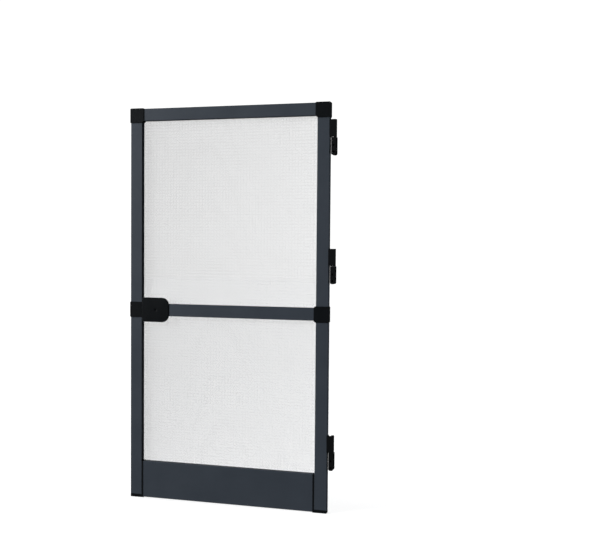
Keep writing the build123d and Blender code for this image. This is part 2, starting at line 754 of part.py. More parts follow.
with BuildPart() as catch_magnets:
    for z in catch_z:
        with BuildSketch(Plane.XZ.offset(-(back + catch_proud))):
            with Locations((catch_x, z)):
                Rectangle(magnet_width, magnet_length)
        extrude(amount=magnet_depth)
catch_magnets.part.label = "catch_magnets"
export_step(catch_magnets.part, "parts/catch_magnets.step")

with BuildPart() as keeper_plates:
    for z in catch_z:
        with BuildSketch(Plane.XZ.offset(-wall_plane)):
            with Locations((catch_x, z)):
                RectangleRounded(catch_width, catch_length, catch_flange)
            with Locations((catch_x, z - keeper_hole_spacing / 2), (catch_x, z + keeper_hole_spacing / 2)):
                Circle(keeper_hole_radius, mode=Mode.SUBTRACT)
        extrude(amount=keeper_thickness)
keeper_plates.part.label = "keeper_plates"
export_step(keeper_plates.part, "parts/keeper_plates.step")
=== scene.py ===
import json
import math

import bmesh
import bpy
from bpy.props import FloatProperty, FloatVectorProperty, PointerProperty
from mathutils import Matrix, Vector

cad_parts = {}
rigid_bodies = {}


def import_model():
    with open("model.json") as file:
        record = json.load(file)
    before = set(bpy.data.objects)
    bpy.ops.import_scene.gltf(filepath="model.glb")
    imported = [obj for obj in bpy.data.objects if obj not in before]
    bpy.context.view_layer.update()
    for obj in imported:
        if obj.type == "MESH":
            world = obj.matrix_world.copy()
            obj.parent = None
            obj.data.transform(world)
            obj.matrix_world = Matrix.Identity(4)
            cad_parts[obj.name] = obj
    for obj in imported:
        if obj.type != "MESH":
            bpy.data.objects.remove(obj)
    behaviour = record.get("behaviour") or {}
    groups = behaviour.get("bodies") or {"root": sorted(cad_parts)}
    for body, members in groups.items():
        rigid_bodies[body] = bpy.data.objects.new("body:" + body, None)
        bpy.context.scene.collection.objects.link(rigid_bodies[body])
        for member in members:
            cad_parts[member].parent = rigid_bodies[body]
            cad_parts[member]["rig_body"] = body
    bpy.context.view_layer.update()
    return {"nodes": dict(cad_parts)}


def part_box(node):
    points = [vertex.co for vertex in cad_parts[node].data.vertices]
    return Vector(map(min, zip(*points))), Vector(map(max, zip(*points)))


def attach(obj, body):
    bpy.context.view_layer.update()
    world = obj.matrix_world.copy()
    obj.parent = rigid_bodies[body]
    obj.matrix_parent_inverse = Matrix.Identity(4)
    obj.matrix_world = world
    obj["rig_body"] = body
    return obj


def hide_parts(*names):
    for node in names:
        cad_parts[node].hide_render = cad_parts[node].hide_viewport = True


# A hinged insect-screen door. The CAD frame gives every place and size, in metres: X runs across the
# door towards the hinges, Y from the viewer's side towards the wall, and Z up.
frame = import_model()

bl_info = {
    "name": "Insect-screen door",
    "version": (1, 0, 0),
    "blender": (4, 5, 0),
    "location": "3D View > Sidebar > Screen Door",
    "description": "Dresses the door's frame in coated aluminium, moulded plastic and woven mesh",
    "category": "Object",
}

SIDES = ("latch", "hinge")
HINGES = ("bottom", "middle", "top")
FIELDS = ("upper", "lower")

# The groove that holds the mesh, and where the mesh goes down into it beside the spline
GROOVE_HALF_WIDTH = 0.0022
YARN_TUCK = 0.0028

# Copies of CAD nodes: points closer than this are one, and faces flatter than this are one
MERGE_DISTANCE = 1e-6
FLAT_ANGLE = math.radians(0.5)
SHARP_ANGLE = math.radians(35)
SOFT_EDGE_SEGMENTS = 3

# A collar's outer corner, seen from the front: its angle, its length, and how nearly it runs along Y
SQUARE_ANGLE = math.radians(80)
COLLAR_EDGE_LEAST = 0.030
STRAIGHT = 0.999

# Sides of a round cord or wire
ROUND_SIDES = 8

# Grip plate
GRIP_ROUNDS = (0.005, 0.040, 0.040, 0.005)
GRIP_WALL = 0.003
GRIP_RIM_CHAMFER = 0.0006
GRIP_DISH_RADIUS = 0.011
GRIP_DISH_DEPTH = 0.0011
GRIP_RECESS_RADIUS = 0.00462
GRIP_RECESS_DEPTH = 0.0028
GRIP_HOLE_RADIUS = 0.00255
GRIP_RAIL_CLEARANCE = 0.00003
ARC_STEPS = 10
SIDE_STEPS = 6
CROWN_STEPS = 7
DISH_STEPS = 4
# How far the tee connector's collar reaches past the stile
TEE_COLLAR = 0.011

# Screws, shaped after the CAD ones
PAN_HEAD = {"head": 0.0034, "height": 0.0020, "shank": 0.0016, "length": 0.0140}
SIDE_HEAD = {"head": 0.0040, "height": 0.0020, "shank": 0.0020, "length": 0.0220}
GRIP_HEAD = {"head": 0.0045, "height": 0.0020, "shank": 0.0025, "length": 0.0390}
CROSS_ARM = 0.60
CROSS_HALF_WIDTH = 0.16
CROSS_DEPTH = 0.0012
CROSS_TAPER = 0.45
ANGLE_SLACK = 1e-6
# A pan head's rounding: (share of its radius, share of its height down from the top)
HEAD_CURVE = ((1.0, 0.55), (0.93, 0.22), (0.78, 0.04))
# A screw's point, in shank radii: its own radius, and its length
POINT_RADIUS = 0.1
POINT_LENGTH = 2

# Spring in each hinge
SPRING_WIRE_RADIUS = 0.0008
SPRING_PITCH = 0.0024
SPRING_TURN_STEPS = 20

# Finishes: the values that a pattern mostly keeps within, the share of a tone that its fine grain gives, and
# a pebble's height as a share of its width
PATTERN_REACH = (0.3, 0.7)
GRAIN_SHARE = 0.6
PEBBLE_RISE = 0.15
# The distance between the weave's bands of tone, and the share of the yarn's tone that they give
WEAVE_SHOWN = 0.0165
WEAVE_SHARE = 0.8
# Specular levels, low enough to leave dark surfaces deep
COAT_SPECULAR = 0.25
NYLON_SPECULAR = 0.08
FLOOR_SPECULAR = 0.1

# Studio
CAMERA_PLACE = (1.6138, -4.4405, 1.3725)
CAMERA_YAW = math.radians(-15.571)
CAMERA_PITCH = math.radians(2.173)
CAMERA_ROLL = math.radians(0.463)
CAMERA_LENS = 53.649
CAMERA_SENSOR = 36.0
FLOOR_REACH = 30.0
FLOOR_GLOW = 0.74
BACKDROP_WHITE = 1.08
FILL = 0.05

# Lights: (kind, name, place, target, strength, a sun's angle or an area light's width and height). The one
# on the hinge side is thin, so that the hinge stile keeps it off the latch stile's inner side.
DOOR_MIDDLE = (0.0, 0.0, 1.05)
LIGHTS = (
    ("SUN", "key_light", (-6.9, -3.5, 3.2), DOOR_MIDDLE, 4.15, math.radians(24)),
    ("SUN", "rear_light", (-5.6, 4.4, 4.65), DOOR_MIDDLE, 1.8, math.radians(30)),
    ("AREA", "upper_left_light", (-2.2, -1.8, 3.0), (-0.5, 0.0, 2.0), 18.0, (1.6, 1.6)),
    ("AREA", "hinge_side_light", (2.5, 0.0, 1.1), DOOR_MIDDLE, 20.0, (0.06, 1.8)),
    ("AREA", "top_light", (-1.6, -0.9, 4.2), DOOR_MIDDLE, 8.0, (2.0, 2.0)),
)


def linear(hex_colour):
    """A linear RGBA colour from an sRGB hex value."""
    channels = [int(hex_colour[place : place + 2], 16) / 255 for place in (1, 3, 5)]
    return tuple(c / 12.92 if c <= 0.04045 else ((c + 0.055) / 1.055) ** 2.4 for c in channels) + (1.0,)


def colour_property(name, description, hex_colour):
    """A colour that a user can change, with its default from an sRGB hex value."""
    return FloatVectorProperty(
        name=name,
        description=description,
        default=linear(hex_colour),
        size=4,
        min=0.0,
        max=1.0,
        subtype="COLOR",
    )


class ScreenDoorSizes(bpy.types.PropertyGroup):
    """Sizes of what the CAD frame leaves plain."""

    pitch_across: FloatProperty(
        name="Pitch across",
        description="Distance from one upright yarn to the next, 18 to the inch",
        default=0.00141,
        min=0.0005,
        precision=5,
        unit="LENGTH",
    )
    pitch_up: FloatProperty(
        name="Pitch up",
        description="Distance from one level yarn to the next, 16 to the inch",
        default=0.00159,
        min=0.0005,
        precision=5,
        unit="LENGTH",
    )
    yarn: FloatProperty(
        name="Yarn",
        description="Thickness of a coated yarn",
        default=0.00028,
        min=0.0001,
        precision=5,
        unit="LENGTH",
    )
    rib_pitch: FloatProperty(
        name="Spline rib pitch",
        description="Distance from one rib of the rubber spline to the next",
        default=0.003,
        min=0.001,
        precision=4,
        unit="LENGTH",
    )
    rib_depth: FloatProperty(
        name="Spline rib depth",
        description="How much thinner the spline is between its ribs",
        default=0.0003,
        min=0.0,
        precision=5,
        unit="LENGTH",
    )
    soft_edge: FloatProperty(
        name="Soft edge",
        description="Rounding along the edges of the moulded pieces",
        default=0.0009,
        min=0.0001,
        precision=5,
        unit="LENGTH",
    )
    collar_corner: FloatProperty(
        name="Collar corner",
        description="Rounding at the corners of the connectors' collars, seen from the front",
        default=0.0045,
        min=0.0,
        precision=4,
        unit="LENGTH",
    )
    grip_edge: FloatProperty(
        name="Grip edge",
        description="Rounding along the front edge of the grip plate",
        default=0.003,
        min=0.0005,
        precision=4,
        unit="LENGTH",
    )
    grip_crown: FloatProperty(
        name="Grip crown",
        description="How far the middle of the grip plate stands out from its edge",
        default=0.0009,
        min=0.0,
        precision=5,
        unit="LENGTH",
    )


class ScreenDoorColours(bpy.types.PropertyGroup):
    """Colours of the finishes."""

    coat: colour_property("Powder coat", "Anthracite powder coat on the profiles", "#3A414A")
    plastic: colour_property("Moulded plastic", "Connectors, feet, brackets and grip", "#0F1215")
    hinge: colour_property("Hinge plastic", "Glass-filled plastic of the hinges", "#0C0E10")
    yarn: colour_property("Yarn", "Plastic coat on the mesh's yarn", "#C2C4C5")
    rubber: colour_property("Spline", "Rubber cord that holds the mesh", "#1A1B1D")
    zinc: colour_property("Zinc", "Zinc plating on screws, springs and keepers", "#C4C9CD")
    floor: colour_property("Floor", "Studio floor", "#B9BABB")


# ---- Nodes ----


def add_node(tree, kind, settings=None, inputs=None):
    """Adds a node, sets its attributes, and gives each input a value, a link or a list of links."""
    node = tree.nodes.new(kind)
    for name, value in (settings or {}).items():
        setattr(node, name, value)
    for key, value in (inputs or {}).items():
        for one in value if isinstance(value, list) else [value]:
            if isinstance(one, bpy.types.NodeSocket):
                tree.links.new(one, node.inputs[key])
            else:
                node.inputs[key].default_value = one
    return node


def material(name, colour, roughness, metallic=0.0):
    """An empty material: its tree, its shader and its coordinates in metres."""
    made = bpy.data.materials.new(name)
    made.use_nodes = True
    made.diffuse_color = colour
    tree = made.node_tree
    tree.nodes.clear()
    shader = add_node(
        tree,
        "ShaderNodeBsdfPrincipled",
        None,
        {"Base Color": colour, "Roughness": roughness, "Metallic": metallic},
    )
    add_node(tree, "ShaderNodeOutputMaterial", None, {"Surface": shader.outputs[0]})
    place = add_node(tree, "ShaderNodeTexCoord").outputs["Object"]
    return made, tree, shader, place


def every(millimetres):
    """The scale at which a texture repeats about every so many millimetres."""
    return 1000 / millimetres


def vary(tree, shader, pattern, colour, lift, roughness, relief=None, depth=0.0):
    """Lets a pattern show in a finish, and a relief stand depth millimetres high where there is one.

    The pattern turns the colour darker to lighter by lift, and the surface from one roughness to the other.
    """
    dark, light = (tuple(c * (1 + way * lift) for c in colour[:3]) + (1.0,) for way in (-1, 1))
    tint = add_node(tree, "ShaderNodeMix", {"data_type": "RGBA"}, {0: pattern, 6: dark, 7: light})
    tree.links.new(tint.outputs[2], shader.inputs["Base Color"])
    # The inputs in order: what is mapped, the values that it is mapped from, and those that it gives
    values = dict(enumerate((pattern, *PATTERN_REACH, *roughness)))
    rough = add_node(tree, "ShaderNodeMapRange", None, values)
    tree.links.new(rough.outputs[0], shader.inputs["Roughness"])
    if relief is not None:
        values = {"Height": relief, "Distance": depth / 1000, "Strength": 1.0}
        bump = add_node(tree, "ShaderNodeBump", None, values)
        tree.links.new(bump.outputs[0], shader.inputs["Normal"])


def powder_coat(colour):
    # Polyester powder baked on aluminium: satin, with the slow waves of orange peel and a fine sandy
    # texture. The real grit is about 0.2 mm, too fine to show, so it is drawn at 1 mm.
    made, tree, shader, place = material("powder_coated_aluminium", colour, 0.45)
    peel = add_node(tree, "ShaderNodeTexNoise", None, {0: place, "Scale": every(6), "Detail": 1.0})
    grit = add_node(tree, "ShaderNodeTexNoise", None, {0: place, "Scale": every(1), "Detail": 2.0})
    cloud = add_node(tree, "ShaderNodeTexNoise", None, {0: place, "Scale": every(120), "Detail": 2.0})
    speckle, height = (
        add_node(
            tree,
            "ShaderNodeMix",
            {"data_type": "FLOAT"},
            {0: GRAIN_SHARE, 2: coarse.outputs[0], 3: grit.outputs[0]},
        ).outputs[0]
        for coarse in (cloud, peel)
    )
    vary(tree, shader, speckle, colour, 0.22, (0.38, 0.52), height, 0.3)
    shader.inputs["Specular IOR Level"].default_value = COAT_SPECULAR
    return made


def moulded_nylon(name, colour, grain, roughness):
    # Nylon moulded in a spark-eroded tool: a deep black with a fine pebbled grain, satin rather than
    # glossy. The real grain is about 0.1 mm, and is drawn coarser so that it shows. grain is in mm.
    made, tree, shader, place = material(name, colour, roughness)
    values = {"Vector": place, "Scale": every(grain)}
    pebbles = add_node(tree, "ShaderNodeTexVoronoi", {"feature": "SMOOTH_F1"}, values).outputs["Distance"]
    cloud = add_node(tree, "ShaderNodeTexNoise", None, {0: place, "Scale": every(40), "Detail": 3.0})
    speckle = add_node(
        tree, "ShaderNodeMix", {"data_type": "FLOAT"}, {0: GRAIN_SHARE, 2: cloud.outputs[0], 3: pebbles}
    )
    spread = (roughness - 0.06, roughness + 0.06)
    vary(tree, shader, speckle.outputs[0], colour, 0.35, spread, pebbles, PEBBLE_RISE * grain)
    shader.inputs["Specular IOR Level"].default_value = NYLON_SPECULAR
    return made


def glass_filled_nylon(colour):
    # Glass-filled nylon: dull, and slightly streaked along the flow, which runs up each hinge half. The
    # streaks are about 2 mm wide and eight times as long.
    made, tree, shader, place = material("glass_filled_nylon", colour, 0.55)
    flow = add_node(tree, "ShaderNodeMapping", None, {"Vector": place, "Scale": (1.0, 1.0, 0.12)})
    streaks = add_node(
        tree, "ShaderNodeTexNoise", None, {0: flow.outputs[0], "Scale": every(2), "Detail": 4.0}
    )
    vary(tree, shader, streaks.outputs[0], colour, 0.40, (0.48, 0.64), streaks.outputs[0], 0.15)
    shader.inputs["Specular IOR Level"].default_value = NYLON_SPECULAR
    return made


def coated_yarn(colour):
    # Glass yarn in a plastic coat: pale grey, and uneven along its length where the coat is thicker.
    # Single yarns are too fine to show from a few metres, where a woven screen still shows as a faint
    # grid, so the weave is drawn again in tone, as darker bands of yarn WEAVE_SHOWN apart. A wave
    # texture of scale 1 repeats every pi / 10.
    made, tree, shader, place = material("coated_glass_yarn", colour, 0.55)
    uneven = add_node(tree, "ShaderNodeTexNoise", None, {0: place, "Scale": every(4), "Detail": 2.0})
    values = {"Vector": place, "Scale": math.pi / 10 / WEAVE_SHOWN}
    upright, level = (
        add_node(tree, "ShaderNodeTexWave", {"bands_direction": way}, values).outputs["Fac"]
        for way in "XZ"
    )
    grid = add_node(tree, "ShaderNodeMath", {"operation": "MINIMUM"}, {0: upright, 1: level})
    tone = add_node(
        tree,
        "ShaderNodeMix",
        {"data_type": "FLOAT"},
        {0: WEAVE_SHARE, 2: uneven.outputs[0], 3: grid.outputs[0]},
    )
    vary(tree, shader, tone.outputs[0], colour, 0.32, (0.48, 0.62))
    return made


def spline_rubber(colour):
    # Extruded rubber: matt, near black, with a faint grey bloom.
    made, tree, shader, place = material("extruded_rubber", colour, 0.85)
    bloom = add_node(tree, "ShaderNodeTexNoise", None, {0: place, "Scale": every(15), "Detail": 4.0})
    vary(tree, shader, bloom.outputs[0], colour, 0.25, (0.78, 0.92), bloom.outputs[0], 0.05)
    return made


def zinc_plate(colour):
    # Bright zinc plating on steel: silvery, with faint clouding where the bath left it thinner.
    made, tree, shader, place = material("zinc_plated_steel", colour, 0.32, 1.0)
    cloud = add_node(tree, "ShaderNodeTexNoise", None, {0: place, "Scale": every(6), "Detail": 3.0})
    vary(tree, shader, cloud.outputs[0], colour, 0.08, (0.24, 0.40))
    return made


def black_oxide():
    # Black oxide on steel: a thin dark skin over a turned surface, slightly glossy.
    colour = linear("#08090A")
    made, tree, shader, place = material("black_oxide_steel", colour, 0.38, 1.0)
    cloud = add_node(tree, "ShaderNodeTexNoise", None, {0: place, "Scale": every(2), "Detail": 3.0})
    vary(tree, shader, cloud.outputs[0], colour, 0.15, (0.30, 0.46))
    return made


def ferrite():
    # Sintered ferrite: charcoal grey and slightly granular.
    colour = linear("#3A3B3E")
    made, tree, shader, place = material("sintered_ferrite", colour, 0.6)
    values = {"Vector": place, "Scale": every(0.8)}
    grains = add_node(tree, "ShaderNodeTexVoronoi", None, values).outputs["Distance"]
    vary(tree, shader, grains, colour, 0.2, (0.5, 0.7), grains, 0.05)
    return made


def studio_paint(colour):
    # Matt floor paint, pale grey with the faint mottle of a roller. It glows, so that the floor looks as
    # white as the surroundings and no horizon shows through the mesh.
    made, tree, shader, place = material("matt_floor_paint", colour, 0.8)
    mottle = add_node(tree, "ShaderNodeTexNoise", None, {0: place, "Scale": every(250), "Detail": 3.0})
    vary(tree, shader, mottle.outputs[0], colour, 0.006, (0.75, 0.85))
    shader.inputs["Specular IOR Level"].default_value = FLOOR_SPECULAR
    shader.inputs["Emission Color"].default_value = (1.0, 1.0, 1.0, 1.0)
    shader.inputs["Emission Strength"].default_value = FLOOR_GLOW
    return made


def finish(name):
    """The finish by its slot's name, made the first time that it is asked for."""
    colours = bpy.context.scene.screen_door_colours
    makers = {
        "coated_aluminium": lambda: powder_coat(tuple(colours.coat)),
        "black_plastic": lambda: moulded_nylon("moulded_nylon", tuple(colours.plastic), 1.2, 0.46),
        "hinge_plastic": lambda: glass_filled_nylon(tuple(colours.hinge)),
        "screen_mesh": lambda: coated_yarn(tuple(colours.yarn)),
        "spline_rubber": lambda: spline_rubber(tuple(colours.rubber)),
        "zinc_steel": lambda: zinc_plate(tuple(colours.zinc)),
        "black_steel": black_oxide,
        "ferrite": ferrite,
        "nylon": lambda: moulded_nylon("turned_nylon", linear("#242629"), 0.6, 0.42),
    }
    if name not in finish.made:
        finish.made[name] = makers[name]()
    return finish.made[name]


finish.made = {}


# ---- Pieces ----


def new_object(name, mesh):
    """An object at the origin, in the scene."""
    made = bpy.data.objects.new(name, mesh)
    bpy.context.scene.collection.objects.link(made)
    return made


def mesh_object(name, bm):
    """An object from a bmesh, which is freed."""
    mesh = bpy.data.meshes.new(name)
    bm.to_mesh(mesh)
    bm.free()
    return new_object(name, mesh)


def settled(piece):
    """The piece with its modifiers' result as its own mesh."""
    bpy.context.view_layer.update()
    depsgraph = bpy.context.evaluated_depsgraph_get()
    mesh = bpy.data.meshes.new_from_object(piece.evaluated_get(depsgraph))
    piece.modifiers.clear()
    piece.data = mesh
    mesh.name = piece.name
    return piece


def fit(piece, slot_name, *nodes):
    """Gives a new piece its finish, and puts it in place of its CAD nodes, on their body."""
    piece.data.materials.clear()
    piece.data.materials.append(finish(slot_name))
    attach(piece, frame["nodes"][nodes[0]]["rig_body"])
    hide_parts(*nodes)


def carry(slot_name, *nodes):
    """Gives CAD nodes their finish through their own material slots."""
    for name in nodes:
        for place in frame["nodes"][name].material_slots:
            place.material = finish(slot_name)


def merged_copy(node):
    """A CAD node's shape as one joined bmesh, with flat areas as single faces."""
    bm = bmesh.new()
    bm.from_mesh(frame["nodes"][node].data)
    bmesh.ops.remove_doubles(bm, verts=bm.verts, dist=MERGE_DISTANCE)
    bmesh.ops.dissolve_limit(bm, angle_limit=FLAT_ANGLE, verts=bm.verts, edges=bm.edges)
    return bm


def shade(piece):
    """Smooth shading, with flat faces kept flat and edges past the sharp angle kept crisp."""
    piece.data.shade_smooth()
    piece.data.set_sharp_from_angle(angle=SHARP_ANGLE)
    even = piece.modifiers.new("Even shading", "WEIGHTED_NORMAL")
    even.keep_sharp = True
    return settled(piece)


def is_front_corner(edge):
    """Whether an edge is a square outer corner that runs along Y, as deep as a collar."""
    run = edge.verts[1].co - edge.verts[0].co
    square = len(edge.link_faces) == 2 and edge.is_convex and edge.calc_face_angle() > SQUARE_ANGLE
    return square and abs(run.y) > max(COLLAR_EDGE_LEAST, STRAIGHT * run.length)


def softened(node, width, corner=0.0):
    """A piece in a CAD node's shape, with its edges rounded as they come out of a mould.

    Corners seen from the front, whose edges run along Y, are rounded by corner first.
    """
    bm = merged_copy(node)
    if corner:
        bm.normal_update()
        outer = [edge for edge in bm.edges if is_front_corner(edge)]
        bmesh.ops.bevel(
            bm, geom=outer, offset=corner, segments=SOFT_EDGE_SEGMENTS, profile=0.5, affect="EDGES"
        )
    piece = mesh_object(f"{node}_moulding", bm)
    bevel = piece.modifiers.new("Soft edges", "BEVEL")
    bevel.width = width
    bevel.segments = SOFT_EDGE_SEGMENTS
    bevel.limit_method = "ANGLE"
    bevel.angle_limit = SHARP_ANGLE
    return shade(settled(piece))


def solids_of(node):
    """The lowest and highest corners of each separate solid in a CAD node."""
    bm = merged_copy(node)
    waiting, boxes = set(bm.verts), []
    while waiting:
        reached, edge_on = set(), [waiting.pop()]
        while edge_on:
            vertex = edge_on.pop()
            reached.add(vertex)
            for edge in vertex.link_edges:
                other = edge.other_vert(vertex)
                if other in waiting:
                    waiting.remove(other)
                    edge_on.append(other)
        axes = list(zip(*(vertex.co for vertex in reached)))
        boxes.append((Vector([min(axis) for axis in axes]), Vector([max(axis) for axis in axes])))
    bm.free()
    return sorted(boxes, key=lambda box: tuple(box[0]))


def loft(loops, join_ends):
    """A bmesh through loops with the same number of points. Its ends are joined, or each is closed."""
    bm = bmesh.new()
    rings = [[bm.verts.new(point) for point in loop] for loop in loops]
    following = rings[1:] + (rings[:1] if join_ends else [])
    for ring, other in zip(rings, following):
        for place, vertex in enumerate(ring):
            after = (place + 1) % len(ring)
            bm.faces.new((vertex, ring[after], other[after], other[place]))
    if not join_ends:
        bm.faces.new(rings[0])
        bm.faces.new(rings[-1])
    bmesh.ops.recalc_face_normals(bm, faces=bm.faces)
    return bm


def geometry_tree(name, *inputs):
    """A Geometry Nodes tree with named inputs, and the sockets that give them."""
    tree = bpy.data.node_groups.new(name, "GeometryNodeTree")
    for way in ("INPUT", "OUTPUT"):
        tree.interface.new_socket("Geometry", in_out=way, socket_type="NodeSocketGeometry")
    for label, kind in inputs:
        tree.interface.new_socket(label, in_out="INPUT", socket_type=f"NodeSocket{kind}")
    return tree, add_node(tree, "NodeGroupInput").outputs


def close_tree(tree, geometry, made_of):
    """Ends a tree in plain geometry with its material."""
    real = add_node(tree, "GeometryNodeRealizeInstances", None, {"Geometry": geometry})
    finished = add_node(
        tree, "GeometryNodeSetMaterial", None, {"Geometry": real.outputs[0], "Material": made_of}
    )
    add_node(tree, "NodeGroupOutput", None, {0: finished.outputs[0]})
    return tree


def grown(piece, tree, values):
    """The piece as a tree makes it from the values for its named inputs."""
    modifier = piece.modifiers.new(tree.name, "NODES")
    modifier.node_group = tree
    for item in tree.interface.items_tree:
        if item.in_out == "INPUT" and item.name in values:
            modifier[item.identifier] = values[item.name]
    return settled(piece)


# ---- Mesh fields ----


def screen_tree():
    """Upright and level yarns between two corners. The ends go down into the groove beside the spline."""
    tree, given = geometry_tree(
        "Woven screen",
        ("Low", "Vector"),
        ("High", "Vector"),
        ("Pitch Across", "Float"),
        ("Pitch Up", "Float"),
        ("Yarn", "Float"),
        ("Tuck", "Float"),
        ("Material", "Material"),
    )
    low = add_node(tree, "ShaderNodeSeparateXYZ", None, {0: given["Low"]}).outputs
    high = add_node(tree, "ShaderNodeSeparateXYZ", None, {0: given["High"]}).outputs
    section = add_node(
        tree,
        "GeometryNodeCurvePrimitiveQuadrilateral",
        None,
        {"Width": given["Yarn"], "Height": given["Yarn"]},
    )
    layers = []
    # Along one axis, one yarn after another along the other. The two layers overlap where they are fused.
    for along, across, depth, pitch in (
        ("Z", "X", high["Y"], "Pitch Across"),
        ("X", "Z", low["Y"], "Pitch Up"),
    ):
        tucked = add_node(
            tree, "ShaderNodeMath", {"operation": "SUBTRACT"}, {0: depth, 1: given["Tuck"]}
        ).outputs[0]
        corners = [
            add_node(tree, "ShaderNodeCombineXYZ", None, {"Y": level, along: end[along]}).outputs[0]
            for level, end in ((tucked, low), (depth, low), (depth, high), (tucked, high))
        ]
        path = add_node(
            tree,
            "GeometryNodeCurvePrimitiveQuadrilateral",
            {"mode": "POINTS"},
            {f"Point {number + 1}": corner for number, corner in enumerate(corners)},
        )
        open_path = add_node(
            tree, "GeometryNodeSetSplineCyclic", None, {"Geometry": path.outputs[0], "Cyclic": False}
        )
        # A mitre would pinch a yarn from end to end, so it turns into the groove in two steps
        eased = add_node(
            tree,
            "GeometryNodeFilletCurve",
            {"mode": "POLY"},
            {"Curve": open_path.outputs[0], "Count": 1, "Radius": given["Yarn"]},
        )
        yarn = add_node(
            tree,
            "GeometryNodeCurveToMesh",
            None,
            {"Curve": eased.outputs[0], "Profile Curve": section.outputs[0], "Fill Caps": True},
        )
        span = add_node(
            tree, "ShaderNodeMath", {"operation": "SUBTRACT"}, {0: high[across], 1: low[across]}
        )
        number = add_node(
            tree, "ShaderNodeMath", {"operation": "DIVIDE"}, {0: span.outputs[0], 1: given[pitch]}
        )
        first, last = (
            add_node(tree, "ShaderNodeCombineXYZ", None, {across: end[across]}).outputs[0]
            for end in (low, high)
        )
        places = add_node(
            tree,
            "GeometryNodeMeshLine",
            {"mode": "END_POINTS"},
            {"Count": number.outputs[0], "Start Location": first, "Offset": last},
        )
        row = add_node(
            tree,
            "GeometryNodeInstanceOnPoints",
            None,
            {"Points": places.outputs[0], "Instance": yarn.outputs[0]},
        )
        layers.append(row.outputs[0])
    woven = add_node(tree, "GeometryNodeJoinGeometry", None, {0: layers})
    return close_tree(tree, woven.outputs[0], given["Material"])


class SCREENDOOR_OT_mesh_fields(bpy.types.Operator):
    """Weave the two mesh fields, yarn by yarn, and tuck their edges under the splines"""

    bl_idname = "screendoor.mesh_fields"
    bl_label = "Mesh fields"

    def execute(self, context):
        sizes = context.scene.screen_door_sizes
        tree = screen_tree()
        inset = GROOVE_HALF_WIDTH - sizes.yarn / 2
        for field in FIELDS:
            node = f"mesh_{field}"
            low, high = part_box(node)
            low += Vector((inset, sizes.yarn / 2, inset))
            high -= Vector((inset, sizes.yarn / 2, inset))
            piece = grown(
                new_object(f"{node}_yarns", bpy.data.meshes.new(node)),
                tree,
                {
                    "Low": low,
                    "High": high,
                    "Pitch Across": sizes.pitch_across,
                    "Pitch Up": sizes.pitch_up,
                    "Yarn": sizes.yarn,
                    "Tuck": YARN_TUCK,
                    "Material": finish("screen_mesh"),
                },
            )
            fit(piece, "screen_mesh", node)
        return {"FINISHED"}


# ---- Splines ----


def cord_tree():
    """A round cord with ribs round it, along each edge of the mesh that it is given."""
    tree, given = geometry_tree(
        "Ribbed cord",
        ("Radius", "Float"),
        ("Rib Pitch", "Float"),
        ("Rib Share", "Float"),
        ("Material", "Material"),
    )
    path = add_node(tree, "GeometryNodeMeshToCurve", None, {"Mesh": given["Geometry"]})
    # Points half a rib apart, with every second one drawn in
    half_pitch = add_node(
        tree, "ShaderNodeMath", {"operation": "MULTIPLY"}, {0: given["Rib Pitch"], 1: 0.5}
    )
    stations = add_node(
        tree,
        "GeometryNodeResampleCurve",
        {"mode": "LENGTH"},
        {"Curve": path.outputs[0], "Length": half_pitch.outputs[0]},
    )
    number = add_node(tree, "GeometryNodeInputIndex")
    odd = add_node(tree, "ShaderNodeMath", {"operation": "MODULO"}, {0: number.outputs[0], 1: 2.0})
    share = add_node(
        tree, "ShaderNodeMath", {"operation": "MULTIPLY"}, {0: odd.outputs[0], 1: given["Rib Share"]}
    )
    scale = add_node(tree, "ShaderNodeMath", {"operation": "SUBTRACT"}, {0: 1.0, 1: share.outputs[0]})
    section = add_node(
        tree,
        "GeometryNodeCurvePrimitiveCircle",
        None,
        {"Resolution": ROUND_SIDES, "Radius": given["Radius"]},
    )
    cord = add_node(
        tree,
        "GeometryNodeCurveToMesh",
        None,
        {
            "Curve": stations.outputs[0],
            "Profile Curve": section.outputs[0],
            "Scale": scale.outputs[0],
            "Fill Caps": True,
        },
    )
    smooth = add_node(tree, "GeometryNodeSetShadeSmooth", None, {"Geometry": cord.outputs[0]})
    return close_tree(tree, smooth.outputs[0], given["Material"])


class SCREENDOOR_OT_splines(bpy.types.Operator):
    """Lay the ribbed rubber splines in their grooves, four lengths to each mesh field"""

    bl_idname = "screendoor.splines"
    bl_label = "Splines"

    def execute(self, context):
        sizes = context.scene.screen_door_sizes
        tree = cord_tree()
        for field in FIELDS:
            node = f"spline_{field}"
            bm = bmesh.new()
            for low, high in solids_of(node):
                middle = (low + high) / 2
                radius = (high.y - low.y) / 2
                along = 0 if high.x - low.x > high.z - low.z else 2
                ends = []
                for corner in (low, high):
                    end = middle.copy()
                    end[along] = corner[along]
                    ends.append(bm.verts.new(end))
                bm.edges.new(ends)
            values = {
                "Radius": radius,
                "Rib Pitch": sizes.rib_pitch,
                "Rib Share": sizes.rib_depth / radius,
                "Material": finish("spline_rubber"),
            }
            fit(grown(mesh_object(f"{node}_cords", bm), tree, values), "spline_rubber", node)
        return {"FINISHED"}


# ---- Aluminium ----


class SCREENDOOR_OT_profiles(bpy.types.Operator):
    """Powder-coat the stiles, the rails and the kick plate"""

    bl_idname = "screendoor.profiles"
    bl_label = "Profiles"

    def execute(self, context):
        carry("coated_aluminium", "stile_latch", "stile_hinge", "rail_top", "rail_middle", "kick_plate")
        return {"FINISHED"}


# ---- Connectors ----


